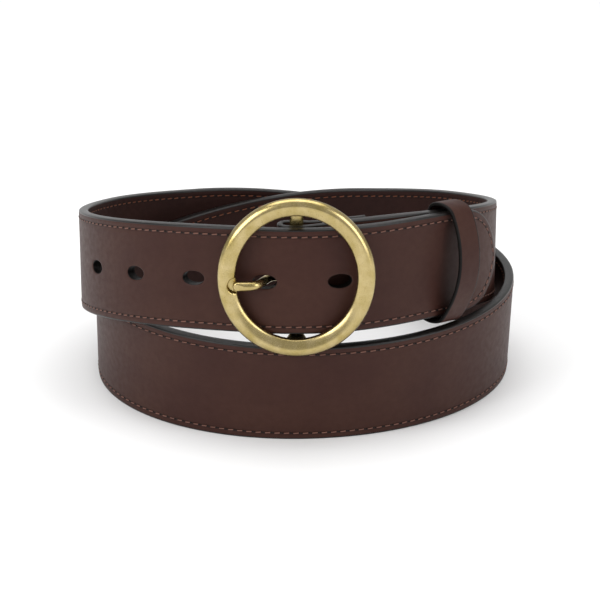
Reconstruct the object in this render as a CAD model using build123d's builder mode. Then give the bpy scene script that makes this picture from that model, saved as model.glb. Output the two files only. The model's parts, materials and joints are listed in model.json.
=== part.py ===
from build123d import *
import os
from math import ceil, cos, degrees, radians, sin, sqrt

# A leather dress belt, buckled and standing on its edge as a coil of a little over two turns.
# Frame: +Z up, the coil's axis is Z, the belt's lower edge rests on Z = 0 and the buckle faces -Y.
# Angles are in degrees round the coil, from 0 at the buckle's bar towards +X. The strap leaves the
# bar at 0, sinks to the floor at one turn and climbs back over the bar at two turns, as the tail.

# Driving dimensions, in millimetres and degrees
strap_width = 38.0
strap_thickness = 3.5
face_thickness = 2.0
glue_line = 0.05
lining_inset = 0.2
edge_flat = 0.15
coil_radius = 71.8
tip_angle = 788.0
tip_length = 24.0
tip_rounding = 3.5
hole_length = 8.2
hole_width = 5.0
hole_pitch = 25.4
first_hole = 14.7
hole_count = 5
thread_width = 0.8
thread_height = 0.08
stitch_inset = 2.7
ring_width = 54.0
ring_height = 57.0
ring_band = 6.2
ring_depth = 4.2
ring_standoff = 82.3
ring_rise = 2.25
bar_width = 4.8
bar_depth = 3.0
prong_diameter = 3.0
keeper_angle = 45.0
keeper_width = 10.5
keeper_thickness = 1.4
keeper_bow = 6.5
rivet_angle = 15.5
rivet_spacing = 22.0
rivet_shank = 3.0

# The coil's route. Each group of three is a size, the angle it starts from and the angle it takes.
one_turn = 360.0
two_turns = 720.0
lean_most = 11.0
lean_middle = 372.0
lean_spread = 108.0
floor_middle = 365.0
first_climb = (12.5, 125.0, 115.0)
last_climb = (30.5, 205.0, 140.0)
tip_droop = 2.2
droop_power = 3.2
first_spread = 2.2
second_spread = (4.9, 355.0, 105.0)
tail_closing = (2.7, 728.0, 37.0)
ovality = 0.4
bar_swing = 3.2
bar_swing_end = 13.0
section_step = 12.0

os.makedirs("parts", exist_ok=True)

half_width = strap_width / 2
half_thickness = strap_thickness / 2


def ease(share):
    """0 up to share 0, 1 from share 1 on, and a smooth S between."""
    share = min(max(share, 0.0), 1.0)
    return share * share * (3 - 2 * share)


def lean(angle):
    """Degrees by which the strap's top leans outward: one smooth hump where it lies on the floor."""
    away = abs(angle - lean_middle) / lean_spread
    return lean_most * (1 + cos(radians(180 * away))) / 2 if away < 1 else 0.0


def lower_edge(angle):
    """Height of the strap's lower edge: on the floor at one turn, climbing to both ends."""
    away = abs(angle - floor_middle)
    climb = sum(rise * ease((away - start) / run) for rise, start, run in (first_climb, last_climb))
    droop = tip_droop * (max(angle - two_turns, 0) / keeper_angle) ** droop_power
    return climb - droop - edge_flat


def bar_ramp(angle):
    """How far the strap swings outward to pass in front of the buckle's bar."""
    return bar_swing * (1 - ease(angle / bar_swing_end))


def coil(angle):
    """Radius of the strap's middle: the outer turn is wider, and the tail closes on the inner one."""
    outer_size, outer_start, outer_run = second_spread
    tail_size, tail_start, tail_run = tail_closing
    spread = first_spread * min(angle / one_turn, 1) + outer_size * ease((angle - outer_start) / outer_run)
    closing = tail_size * ease((angle - tail_start) / tail_run)
    return coil_radius + spread - closing + bar_ramp(angle) - ovality * sin(radians(2 * angle))


def outward(angle):
    return Vector(sin(radians(angle)), -cos(radians(angle)), 0)


def travel(angle):
    return Vector(cos(radians(angle)), sin(radians(angle)), 0)


def section_plane(angle):
    """Plane across the strap: X points out through its thickness, Y up its width, origin at its middle."""
    tilt = radians(lean(angle))
    middle = lower_edge(angle) + half_width * cos(tilt) + half_thickness * sin(tilt)
    origin = outward(angle) * coil(angle) + Vector(0, 0, middle)
    across = outward(angle) * cos(tilt) - Vector(0, 0, sin(tilt))
    return Plane(origin=origin, x_dir=across, z_dir=travel(angle) * -1)


def face_plane(angle, out=0.0):
    """Plane on the strap: X runs along it, Y up its width, Z out through its thickness."""
    across = section_plane(angle)
    return Plane(origin=across.origin + across.x_dir * out, x_dir=travel(angle), z_dir=across.x_dir)


def evenly(first, last, step):
    """Angles from first to last, at most a step apart, with both ends."""
    count = ceil((last - first) / step)
    return [first + (last - first) * i / count for i in range(count + 1)]


def lofted(angles, out, up, thickness, width):
    """Solid through a rectangle at each angle, centred out and up from the strap's middle."""
    with BuildPart() as run:
        for angle in angles:
            with BuildSketch(section_plane(angle)):
                with Locations((out, up(angle))):
                    Rectangle(thickness, width)
        loft()
    return run.part


def level(angle):
    """Height of the strap's own middle line."""
    return 0.0


# The tail's pointed tip: two arcs, tangent to the strap's edges, that meet at a rounded point.
tip_radius = (tip_length**2 + half_width**2) / strap_width
tail_radius = coil(tip_angle)


def arc_angle(length):
    """Angle of a length measured along the tail."""
    return degrees(length / tail_radius)


with BuildSketch() as tip_outline:
    with BuildLine():
        upper_arc = TangentArc((0, half_width), (tip_length, 0), tangent=(1, 0))
        mirror(upper_arc, about=Plane.XZ)
        Line((0, half_width), (0, -half_width))
    make_face()
    fillet(tip_outline.vertices().sort_by(Axis.X)[-1], tip_rounding)

ramp_end = 15.0
ramp_step = 2.5
tip_step = 5.0
waste_middle = 0.5
waste_depth = strap_thickness + 1.3
past_tip = 3.0
tip_start = tip_angle - arc_angle(tip_length)
halfway = face_plane(tip_angle - arc_angle(tip_length / 2))
tip_plane = Plane(
    origin=halfway.origin - halfway.x_dir * tip_length / 2, x_dir=halfway.x_dir, z_dir=halfway.z_dir
)
with BuildPart() as tip_waste:
    waste_angles = evenly(tip_start - tip_step, tip_angle + tip_step, tip_step)
    add(lofted(waste_angles, waste_middle, level, waste_depth, 1.5 * strap_width))
    with BuildSketch(tip_plane):
        add(tip_outline.sketch)
        with Locations((-tip_length / 2, 0)):
            Rectangle(tip_length, 2 * strap_width)
    extrude(amount=tip_length, both=True, mode=Mode.SUBTRACT)

hole_angles = [
    two_turns + degrees((first_hole - i * hole_pitch) / coil(two_turns)) for i in range(hole_count)
]


# Both layers are lofted through the same stations, closer together where the strap swings past the
# bar and then step by step wider, so that they stay a glue line apart.
widening = [18.5, 23.5, 30.5]
wide_start = 40.0
stations = evenly(0, ramp_end, ramp_step) + widening + evenly(wide_start, tip_angle + past_tip, section_step)


def layer(inner, outer, width):
    """One layer of the strap from the bar to its pointed tip, with the punched holes of the tail."""
    with BuildPart() as ply:
        add(lofted(stations, (inner + outer) / 2, level, outer - inner, width))
        for angle in hole_angles:
            with BuildSketch(face_plane(angle)):
                SlotOverall(hole_length, hole_width)
            extrude(amount=0.75 * strap_thickness, both=True, mode=Mode.SUBTRACT)
        add(tip_waste.part, mode=Mode.SUBTRACT)
    return ply.part


# Buckle bar: the face leather wraps it and is riveted back onto itself, behind the lining's end.
face_inner = half_thickness - face_thickness
strap_middle = lower_edge(0) + half_width
wrap_outer = coil(0) + half_thickness
bar_clearance = 0.2
bar_y = -(wrap_outer - face_thickness - bar_clearance - bar_depth / 2)
wrap_slack = 3.0
wrap_radius = wrap_outer + bar_y
lining_start = 7.5
fold_end = 20.0
fold_stations = evenly(lining_start, fold_end, ramp_step)


def fold_point(angle, depth):
    """Point on the folded-back leather, depth below the lining's inner face."""
    return outward(angle) * (coil(angle) - half_thickness - glue_line - depth)


slot_length = 14.0
slot_height = 5.2
slot_middle = -1.0
slot_back = bar_y + 8
slot_depth = 12.2
with BuildPart() as strap_face:
    with BuildSketch(Plane.XY.offset(lower_edge(0))):
        with BuildLine():
            inner_bend = wrap_radius - face_thickness
            Line((0, -wrap_outer), (-wrap_slack, -wrap_outer))
            CenterArc((-wrap_slack, bar_y), wrap_radius, 270, -180)
            inside = [Vector(-wrap_slack, bar_y + wrap_radius), Vector(0, bar_y + wrap_radius)]
            Spline(*inside, *[fold_point(a, face_thickness) for a in fold_stations])
            Line(fold_point(fold_end, face_thickness), fold_point(fold_end, 0))
            outside = [Vector(-wrap_slack, bar_y + inner_bend), Vector(0, bar_y + inner_bend)]
            Spline(*outside, *[fold_point(a, 0) for a in fold_stations])
            CenterArc((-wrap_slack, bar_y), inner_bend, 90, 180)
            Line((-wrap_slack, bar_y - inner_bend), (0, bar_y - inner_bend))
            Line((0, bar_y - inner_bend), (0, -wrap_outer))
        make_face()
    extrude(amount=strap_width)
    add(layer(face_inner, half_thickness, strap_width))
    with BuildSketch(Plane.XZ.offset(-slot_back)):
        with Locations((slot_middle, strap_middle)):
            RectangleRounded(slot_length, slot_height, slot_height / 2 - 0.1)
    extrude(amount=slot_depth, mode=Mode.SUBTRACT)
    rivet_plane = face_plane(rivet_angle)
    with BuildSketch(rivet_plane):
        with GridLocations(0, rivet_spacing, 1, 2):
            Circle(rivet_shank / 2)
    extrude(amount=3 * strap_thickness / 2, both=True, mode=Mode.SUBTRACT)
    split(bisect_by=Plane.XY, keep=Keep.TOP)
strap_face.part.label = "strap_face"
export_step(strap_face.part, "parts/strap_face.step")

# Lining: the inner layer, a little narrower, from just past the bar to the tip
lining_outer = face_inner - glue_line
lining_width = strap_width - 2 * lining_inset
lining_cut_depth = 6.0
lining_cut_length = 15.0

with BuildPart() as strap_lining:
    add(layer(-half_thickness, lining_outer, lining_width))
    with BuildSketch(section_plane(lining_start)):
        Rectangle(lining_cut_depth, 1.2 * strap_width)
    extrude(amount=lining_cut_length, mode=Mode.SUBTRACT)
    with BuildSketch(rivet_plane):
        with GridLocations(0, rivet_spacing, 1, 2):
            Circle(rivet_shank / 2)
    extrude(amount=2 * strap_thickness, both=True, mode=Mode.SUBTRACT)
strap_lining.part.label = "strap_lining"
export_step(strap_lining.part, "parts/strap_lining.step")


def stitch_height(angle):
    """Height of a stitch row from the strap's middle: parallel to the edge, then along the tip."""
    along = max((angle - tip_start) * tail_radius * radians(1), 0)
    row_radius = tip_radius - stitch_inset
    return half_width - tip_radius + sqrt(row_radius**2 - along**2)


def stitch_rows(out):
    """Both stitch rows as thin ribbons, in runs that stop just short of each other."""
    shared = [angle for angle in stations if stitch_start + 1 < angle < tip_start - 1]
    angles = [stitch_start] + shared + evenly(tip_start, stitch_end, ramp_step)
    with BuildPart() as rows:
        for i in range(0, len(angles) - 1, stations_per_run):
            run = angles[i : i + stations_per_run + 1]
            run[-1] = run[-1] - run_gap
            add(lofted(run, out, stitch_height, thread_height, thread_width))
            add(lofted(run, out, lambda angle: -stitch_height(angle), thread_height, thread_width))
    return rows.part


stations_per_run = 5
run_gap = 0.1
row_end = sqrt((tip_radius - stitch_inset) ** 2 - (tip_radius - half_width + thread_width) ** 2)
stitch_start = fold_end + 2
stitch_end = tip_start + arc_angle(row_end)
needle_gap = 0.16
bobbin_gap = 0.24
needle_out = half_thickness + needle_gap + thread_height / 2
bobbin_out = -(half_thickness + bobbin_gap + thread_height / 2)

with BuildPart() as needle_thread:
    add(stitch_rows(needle_out))
needle_thread.part.label = "needle_thread"
export_step(needle_thread.part, "parts/needle_thread.step")

with BuildPart() as bobbin_thread:
    add(stitch_rows(bobbin_out))
bobbin_thread.part.label = "bobbin_thread"
export_step(bobbin_thread.part, "parts/bobbin_thread.step")

# Buckle frame: an upright oval ring cast in one piece with its middle bar, which sits behind it
ring_middle = strap_middle + ring_rise
ring_plane = Plane(origin=(0, -ring_standoff, ring_middle), x_dir=(1, 0, 0), z_dir=(0, -1, 0))
bar_half_length = half_width + ring_rise + 1.2
bar_overlap = 1.0
lug_height = 2.4
lug_width = 1.8 * bar_width
lug_seat = 0.8
pocket_x = -20.9
pocket_radius = 2.5
pocket_floor = 0.2
with BuildPart() as buckle_frame:
    with BuildSketch(ring_plane.offset(-ring_depth / 2)):
        Ellipse(ring_width / 2, ring_height / 2)
        Ellipse(ring_width / 2 - ring_band, ring_height / 2 - ring_band, mode=Mode.SUBTRACT)
    extrude(amount=ring_depth)
    fillet(buckle_frame.edges().group_by(Axis.Y)[0], 0.4 * ring_band)
    fillet(buckle_frame.edges().group_by(Axis.Y)[-1], 0.25 * ring_band)
    with BuildSketch(Plane.XY.offset(ring_middle - bar_half_length - bar_overlap)):
        with Locations((0, bar_y)):
            SlotOverall(bar_width, bar_depth)
    extrude(amount=2 * (bar_half_length + bar_overlap))
    for side in (-1, 1):
        with BuildSketch(Plane.XY.offset(ring_middle + side * bar_half_length)):
            with Locations((0, bar_y)):
                Rectangle(bar_width, bar_depth)
        with BuildSketch(ring_plane.offset(-ring_depth / 2 + lug_seat)):
            with Locations((0, side * (ring_height / 2 - ring_band + lug_height / 2))):
                Rectangle(lug_width, lug_height)
        loft()
    with BuildSketch(ring_plane.offset(ring_depth)):
        with Locations((pocket_x, -ring_rise)):
            Circle(pocket_radius)
    extrude(amount=pocket_floor - ring_depth, mode=Mode.SUBTRACT)
buckle_frame.part.label = "buckle_frame"
export_step(buckle_frame.part, "parts/buckle_frame.step")

# Prong: round wire looped about the bar, bent out through the tail's second hole and over it
prong_radius = prong_diameter / 2
loop_bore = bar_width / 2 + 0.15
loop_wall = 1.2
loop_height = prong_diameter + 0.2
prong_root = (-2.8, -73.9)
prong_bend = (-8.4, -73.9)
prong_knee = (-14.0, -84.2)
prong_tip = (-20.5, -84.2)
prong_bend_radius = 3.5
prong_plane = Plane.XY.offset(strap_middle)
with BuildPart() as prong:
    with BuildSketch(prong_plane.offset(-loop_height / 2)):
        with Locations((0, bar_y)):
            Circle(loop_bore + loop_wall)
    extrude(amount=loop_height)
    with BuildLine(prong_plane) as prong_path:
        FilletPolyline(prong_root, prong_bend, prong_knee, prong_tip, radius=prong_bend_radius)
    with BuildSketch(Plane(origin=(*prong_root, strap_middle), x_dir=(0, 1, 0), z_dir=(-1, 0, 0))):
        Circle(prong_radius)
    sweep(path=prong_path.wires()[0])
    with Locations((*prong_tip, strap_middle)):
        Sphere(prong_radius)
    with BuildSketch(prong_plane.offset(-strap_width)):
        with Locations((0, bar_y)):
            Circle(loop_bore)
    extrude(amount=2 * strap_width, mode=Mode.SUBTRACT)
prong.part.label = "prong"
export_step(prong.part, "parts/prong.step")

# Keeper: a leather band round both layers, butted behind them and closed by two staples
keeper_slope = radians(-6.5)
keeper_run = travel(keeper_angle) * cos(keeper_slope) + Vector(0, 0, sin(keeper_slope))
keeper_clearance = 0.6
keeper_low = lower_edge(keeper_angle) - keeper_clearance
keeper_high = lower_edge(two_turns + keeper_angle) + strap_width + keeper_clearance
keeper_rise = (keeper_high - keeper_low) / 2
keeper_back_gap = 0.85
keeper_front_gap = 0.4
keeper_inner = coil(keeper_angle) - half_thickness - keeper_back_gap
keeper_outer = coil(keeper_angle + two_turns) + half_thickness + keeper_front_gap
keeper_plane = Plane(
    origin=outward(keeper_angle) * keeper_inner + Vector(0, 0, (keeper_low + keeper_high) / 2),
    x_dir=outward(keeper_angle),
    z_dir=keeper_run * -1,
)
keeper_depth = keeper_outer - keeper_inner
staple_wire = 0.6
staple_reach = 3.5
staple_back = -keeper_thickness
staple_bury = 0.1
butt_gap = 0.2
with BuildPart() as keeper_staples:
    for side in (-1, 1):
        with BuildSketch(keeper_plane.offset(side * keeper_width / 4 - staple_wire / 2)):
            with Locations((staple_back - staple_wire / 2, 0)):
                Rectangle(staple_wire, 2 * staple_reach + staple_wire)
            with Locations((staple_back + keeper_thickness / 2 - staple_bury, 0)):
                with GridLocations(0, 2 * staple_reach, 1, 2):
                    Rectangle(keeper_thickness, staple_wire)
        extrude(amount=staple_wire)
keeper_staples.part.label = "keeper_staples"
export_step(keeper_staples.part, "parts/keeper_staples.step")

with BuildPart() as keeper:
    with BuildSketch(keeper_plane.offset(-keeper_width / 2)):
        with BuildLine():
            front_low = (keeper_depth, -keeper_rise)
            front_high = (keeper_depth, keeper_rise)
            Polyline(front_low, (0, -keeper_rise), (0, keeper_rise), front_high)
            ThreePointArc(front_high, (keeper_depth + keeper_bow, 0), front_low)
        passage = make_face()
        offset(amount=keeper_thickness)
        add(passage, mode=Mode.SUBTRACT)
        with Locations((staple_back, 0)):
            Rectangle(3 * keeper_thickness, butt_gap, mode=Mode.SUBTRACT)
    extrude(amount=keeper_width)
    add(keeper_staples.part, mode=Mode.SUBTRACT)
keeper.part.label = "keeper"
export_step(keeper.part, "parts/keeper.step")

# Rivets: two posts through all three layers behind the bar, each closed by a cap under the tail
cap_radius = 4.0
cap_height = 1.2
cap_gap = 0.02
head_gap = 0.2
head_rounding = 0.5
shank_clearance = 0.02
stack_inner = -(half_thickness + glue_line + face_thickness)
with BuildPart() as rivet_posts:
    with BuildSketch(face_plane(rivet_angle, stack_inner - head_gap)):
        with GridLocations(0, rivet_spacing, 1, 2):
            Circle(rivet_shank / 2 - shank_clearance)
    extrude(amount=half_thickness - stack_inner + head_gap)
    with BuildSketch(face_plane(rivet_angle, stack_inner - head_gap)):
        with GridLocations(0, rivet_spacing, 1, 2):
            Circle(cap_radius)
    extrude(amount=-cap_height)
    fillet(rivet_posts.edges().filter_by(GeomType.CIRCLE).group_by(Axis.Y)[-1], head_rounding)
rivet_posts.part.label = "rivet_posts"
export_step(rivet_posts.part, "parts/rivet_posts.step")

with BuildPart() as rivet_caps:
    with BuildSketch(face_plane(rivet_angle, half_thickness + cap_gap)):
        with GridLocations(0, rivet_spacing, 1, 2):
            Circle(cap_radius)
    extrude(amount=cap_height)
rivet_caps.part.label = "rivet_caps"
export_step(rivet_caps.part, "parts/rivet_caps.step")
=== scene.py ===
# %% [markdown]
# # A leather belt with a brass ring buckle
# A dress belt is two long strips of leather, glued back to back and sewn along both edges. The
# buckle end is folded round a brass bar, and the other end is pointed and punched with holes. Here
# the belt is rolled into a coil, buckled, and stood on its lower edge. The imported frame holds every
# size and every moving body. Each surface that shows is worked out here as a formula on a grid,
# because a belt is one long sheet and its stitches, edges and holes all follow that same sheet.

# %% Load the frame
import json
import math

import bmesh
import bpy
import numpy as np
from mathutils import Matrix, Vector


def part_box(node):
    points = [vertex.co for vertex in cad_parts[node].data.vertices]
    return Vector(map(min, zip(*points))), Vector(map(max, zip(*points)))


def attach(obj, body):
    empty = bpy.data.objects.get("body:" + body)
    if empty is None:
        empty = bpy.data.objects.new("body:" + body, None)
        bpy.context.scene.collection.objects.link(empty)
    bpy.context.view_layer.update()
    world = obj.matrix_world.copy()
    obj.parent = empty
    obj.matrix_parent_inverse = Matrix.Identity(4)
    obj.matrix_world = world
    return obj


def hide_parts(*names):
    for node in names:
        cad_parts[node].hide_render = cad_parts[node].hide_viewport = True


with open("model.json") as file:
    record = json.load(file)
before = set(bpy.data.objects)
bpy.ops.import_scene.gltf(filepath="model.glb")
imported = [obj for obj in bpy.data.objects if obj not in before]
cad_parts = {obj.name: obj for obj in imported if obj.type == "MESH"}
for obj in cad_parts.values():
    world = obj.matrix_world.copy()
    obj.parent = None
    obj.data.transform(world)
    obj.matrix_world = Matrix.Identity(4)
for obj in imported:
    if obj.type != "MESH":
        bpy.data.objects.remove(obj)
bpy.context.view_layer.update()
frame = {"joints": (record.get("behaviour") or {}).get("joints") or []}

MM = 0.001


def node_box(node):
    """Lowest and highest corner of a CAD node, in millimetres, as two arrays."""
    low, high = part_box(node)
    return np.array(low) / MM, np.array(high) / MM


# %% [markdown]
# ## Meshes from arrays
# Every piece starts as arrays of points and of four-sided faces. Blender can build a mesh point by
# point, but whole arrays are faster and read like the formula. One function puts them into a mesh,
# closes the seams, turns the faces outwards and marks the sharp edges, so that smooth shading
# doesn't smear round a cut edge.

# %% Put arrays into a mesh
def grid_faces(rows, columns, loop_rows=False, loop_columns=False):
    """Faces of a grid of points stored row by row. A looped direction joins its last line to its first."""
    down = np.arange(rows if loop_rows else rows - 1)[:, None]
    along = np.arange(columns if loop_columns else columns - 1)[None, :]
    below = (down + 1) % rows
    beside = (along + 1) % columns
    here, under = down * columns, below * columns
    corners = (here + along, here + beside, under + beside, under + along)
    return np.stack([np.broadcast_to(c, (down.size, along.size)) for c in corners], axis=-1).reshape(-1, 4)


def joined(parts):
    """Points, faces and values of several surfaces as one, with the face numbers moved along."""
    starts = np.cumsum([0] + [len(part[0]) for part in parts[:-1]])
    points = np.concatenate([part[0].reshape(-1, 3) for part in parts])
    faces = np.concatenate([part[1] + start for part, start in zip(parts, starts)])
    values = {name: np.concatenate([part[2][name] for part in parts]) for name in parts[0][2]}
    return points, faces, values


def make_piece(name, surface, material, body, stands_for=(), crease=40):
    """A mesh object from (points in mm, faces, {attribute: value at each point}) that rides on a body."""
    points, faces, values = surface
    mesh = bpy.data.meshes.new(name)
    mesh.from_pydata((points * MM).tolist(), [], faces.tolist())
    for attribute, value in values.items():
        if value.ndim == 2:
            layer = mesh.attributes.new(attribute, "FLOAT_VECTOR", "POINT")
            layer.data.foreach_set("vector", value.astype(np.float32).ravel())
        else:
            layer = mesh.attributes.new(attribute, "FLOAT", "POINT")
            layer.data.foreach_set("value", value.astype(np.float32))
    work = bmesh.new()
    work.from_mesh(mesh)
    bmesh.ops.remove_doubles(work, verts=work.verts, dist=0.002 * MM)
    bmesh.ops.recalc_face_normals(work, faces=work.faces)
    work.to_mesh(mesh)
    open_edges = sum(1 for edge in work.edges if not edge.is_manifold)
    work.free()
    mesh.polygons.foreach_set("use_smooth", np.ones(len(mesh.polygons), bool))
    mesh.set_sharp_from_angle(angle=math.radians(crease))
    mesh.materials.append(material)
    piece = bpy.data.objects.new(name, mesh)
    bpy.context.scene.collection.objects.link(piece)
    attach(piece, body)
    if stands_for:
        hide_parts(*stands_for)
    print(f"{name}: {len(mesh.polygons)} faces, {open_edges} open edges")
    return piece


# %% [markdown]
# ## Materials as small node trees
# A finish is a Principled shader with a few patterns in front of it. One function adds any node,
# sets its values and links its inputs, so that each material reads as a list of what it is made of.
# Colours are written as the hex values a painter would pick, and one function turns them linear.

# %% Colours and nodes
def linear(hex_colour):
    """Linear RGBA from an sRGB hex value."""
    parts = [int(hex_colour[i : i + 2], 16) / 255 for i in (1, 3, 5)]
    return (*[p / 12.92 if p <= 0.04045 else ((p + 0.055) / 1.055) ** 2.4 for p in parts], 1.0)


def add_node(tree, kind, inputs=None, **settings):
    """A node of one kind with its settings. Each input is a value or another node's output."""
    node = tree.nodes.new(kind)
    for key, value in settings.items():
        setattr(node, key, value)
    for key, value in (inputs or {}).items():
        if isinstance(value, bpy.types.NodeSocket):
            tree.links.new(value, node.inputs[key])
        else:
            node.inputs[key].default_value = value
    return node


def new_material(name, **settings):
    """A material with one Principled shader, its constants set on the shader's own sockets."""
    material = bpy.data.materials.new(name)
    material.use_nodes = True
    shader = material.node_tree.nodes["Principled BSDF"]
    for key, value in settings.items():
        shader.inputs[key.replace("_", " ")].default_value = value
    return material, material.node_tree, shader


def blended(tree, share, first, second, mode="MIX"):
    """Colour mix of two colours by a share."""
    mix = add_node(tree, "ShaderNodeMix", data_type="RGBA", blend_type=mode)
    for socket, value in ((0, share), (6, first), (7, second)):
        if isinstance(value, bpy.types.NodeSocket):
            tree.links.new(value, mix.inputs[socket])
        else:
            mix.inputs[socket].default_value = value
    return mix.outputs[2]


def ranged(tree, value, low, high, to_low=0.0, to_high=1.0):
    """A value carried from one range to another, held at the ends."""
    inputs = {"Value": value, "From Min": low, "From Max": high, "To Min": to_low, "To Max": to_high}
    return add_node(tree, "ShaderNodeMapRange", inputs).outputs["Result"]


# %% [markdown]
# ## The coil's route
# On the real belt the strap is flat when it is made, and then it is rolled up. So the shape here is
# made flat too: a point has a length along the strap, a height across it and a depth through it. One
# table holds where the middle of the strap runs in space, and one function carries a flat point onto
# it. The buckle end comes first: it starts behind, goes round the brass bar and then round the coil.

# %% The strap's sizes, in millimetres and degrees
half_width = 19.0
half_thickness = 1.75
face_inner = -0.25
lining_outer = -0.3
fold_glue = 0.05
bar_clearance_radius = 1.95
wrap_slack = 3.0
lining_start_angle = 7.5
fold_end_angle = 20.0
tip_angle = 788.0
two_turns = 720.0
route_radius = 71.8
lean_most, lean_middle, lean_spread = 11.0, 372.0, 108.0
floor_middle = 365.0
first_climb = (12.5, 125.0, 115.0)
last_climb = (30.5, 205.0, 140.0)
tip_droop, droop_span, droop_power = 2.2, 45.0, 3.2
hinge = next(joint for joint in frame["joints"] if joint["name"] == "buckle_tilt")
bar_y = hinge["pos_m"][1] / MM
strap_middle = hinge["pos_m"][2] / MM


def ease(share):
    """0 up to share 0, 1 from share 1 on, and a smooth S between."""
    share = np.clip(share, 0.0, 1.0)
    return share * share * (3 - 2 * share)


def lean(angle):
    """Radians by which the strap's top leans outward: one cosine hump where it lies on the floor."""
    away = np.clip(np.abs(angle - lean_middle) / lean_spread, 0, 1)
    return np.radians(lean_most) * (1 + np.cos(math.pi * away)) / 2


def lower_edge(angle):
    """Height of the lower edge: on the floor at one turn, with two smooth climbs towards both ends."""
    away = np.abs(angle - floor_middle)
    climb = sum(size * ease((away - start) / span) for size, start, span in (first_climb, last_climb))
    return climb - tip_droop * (np.maximum(angle - two_turns, 0) / droop_span) ** droop_power - 0.15


def coil_radius(angle):
    """Radius of the strap's middle: wider in the outer turn, swung out in front of the bar."""
    outer_turn = 2.2 * np.minimum(angle / 360.0, 1) + 4.9 * ease((angle - 355.0) / 105.0)
    tail = 2.7 * ease((angle - 728.0) / 37.0)
    swing = 3.2 * (1 - ease(angle / 13.0))
    return route_radius + outer_turn - tail + swing - 0.4 * np.sin(np.radians(2 * angle))


# %% The table of the route, from the folded end to past the tip
def polar(angle, radius):
    """Plan point of an angle round the coil, from 0 at the buckle's bar towards +X."""
    return np.stack([radius * np.sin(np.radians(angle)), -radius * np.cos(np.radians(angle))], axis=-1)


fold_angles = np.arange(fold_end_angle, 0, -0.5)
fold_depth = half_thickness + fold_glue - face_inner
flat_back = bar_y + bar_clearance_radius
fold_radius = coil_radius(fold_angles) - fold_depth
straight_radius = -flat_back / np.cos(np.radians(fold_angles))
fold_share = ease(fold_angles / lining_start_angle)
fold_plan = polar(fold_angles, fold_share * fold_radius + (1 - fold_share) * straight_radius)
bend_turn = np.radians(np.linspace(90, 270, 37))
bend_x = -wrap_slack + bar_clearance_radius * np.cos(bend_turn)
bend_plan = np.stack([bend_x, bar_y + bar_clearance_radius * np.sin(bend_turn)], -1)
coil_angles = np.arange(0, tip_angle + 6, 0.5)
coil_plan = polar(coil_angles, coil_radius(coil_angles))
route_plan = np.concatenate([fold_plan, [[0.0, flat_back]], bend_plan, coil_plan])
before_coil = len(route_plan) - len(coil_plan)
route_angle = np.concatenate([np.zeros(before_coil), coil_angles])
route_tilt = lean(route_angle)
route_middle = (
    lower_edge(route_angle) + half_width * np.cos(route_tilt) + half_thickness * np.sin(route_tilt)
)
steps = np.hypot(*np.diff(route_plan, axis=0).T)
route_length = np.concatenate([[0], np.cumsum(np.hypot(steps, np.diff(route_middle)))])
route_length -= route_length[before_coil]
heading = np.gradient(route_plan, axis=0)
heading /= np.hypot(*heading.T)[:, None]
side = np.stack([heading[:, 1], -heading[:, 0]], axis=-1)
route_centre = np.column_stack([route_plan, route_middle])
route_across = np.column_stack([side * np.cos(route_tilt)[:, None], -np.sin(route_tilt)])
route_up = np.column_stack([side * np.sin(route_tilt)[:, None], np.cos(route_tilt)])
route_table = np.column_stack([route_centre, route_across, route_up])


def length_at(angle):
    """Length along the strap of an angle of the coil, from 0 at the bar."""
    return np.interp(angle, coil_angles, route_length[before_coil:])


def on_strap(along, up, out):
    """Place in space of flat points: the route's middle, plus up its width and out through its thickness."""
    rows = [np.interp(along, route_length, column) for column in route_table.T]
    centre, across, upward = (np.stack(rows[i : i + 3], axis=-1) for i in (0, 3, 6))
    return centre + across * np.asarray(out)[..., None] + upward * np.asarray(up)[..., None]


strap_end = length_at(tip_angle)
fold_end = route_length[0]
print("strap length in mm:", round(strap_end, 1), "folded end:", round(fold_end, 1))

# %% [markdown]
# ## The flat sheet with its holes and its pointed tip
# A punched hole could be cut with a Boolean, but that leaves long thin faces that shade badly. Here
# each hole sits in a block of the sheet where rings of faces run from the hole's oval edge out to
# the block's border, so every face follows the hole. The tip is drawn the same way: its rows of
# faces run parallel to the pointed outline, as the real edge and its stitching do.

# %% The tip's outline
tip_length = 24.0
tip_rounding = 3.5
tip_radius = (tip_length**2 + half_width**2) / (2 * half_width)
tip_start = strap_end - tip_length
tip_lead = 10.0

rounding_height = tip_radius - tip_rounding
apex_centre = math.sqrt(rounding_height**2 - (tip_radius - half_width) ** 2)
swing_end = math.atan2(apex_centre, tip_radius - half_width)


def tip_outline(count_arc=34, count_apex=9):
    """Lower half of the pointed outline as (length past the tip's start, height, normal): a straight lead,
    an arc tangent to the edge, and half of the small arc that rounds the point."""
    lead = np.linspace(-tip_lead, 0, 6)[:-1]
    swing = np.linspace(0, swing_end, count_arc)
    turn = np.linspace(swing_end, math.pi / 2, count_apex + 1)[1:-1]
    turn = np.append(turn, math.pi / 2 - (math.pi / 2 - swing_end) / (3 * count_apex))
    along = np.concatenate(
        [lead, tip_radius * np.sin(swing), apex_centre + tip_rounding * np.sin(turn)]
    )
    height = np.concatenate(
        [
            np.full(len(lead), -half_width),
            tip_radius - half_width - tip_radius * np.cos(swing),
            -tip_rounding * np.cos(turn),
        ]
    )
    normal_turn = np.concatenate([np.zeros(len(lead)), swing, turn])
    return along, height, np.sin(normal_turn), -np.cos(normal_turn)


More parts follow.
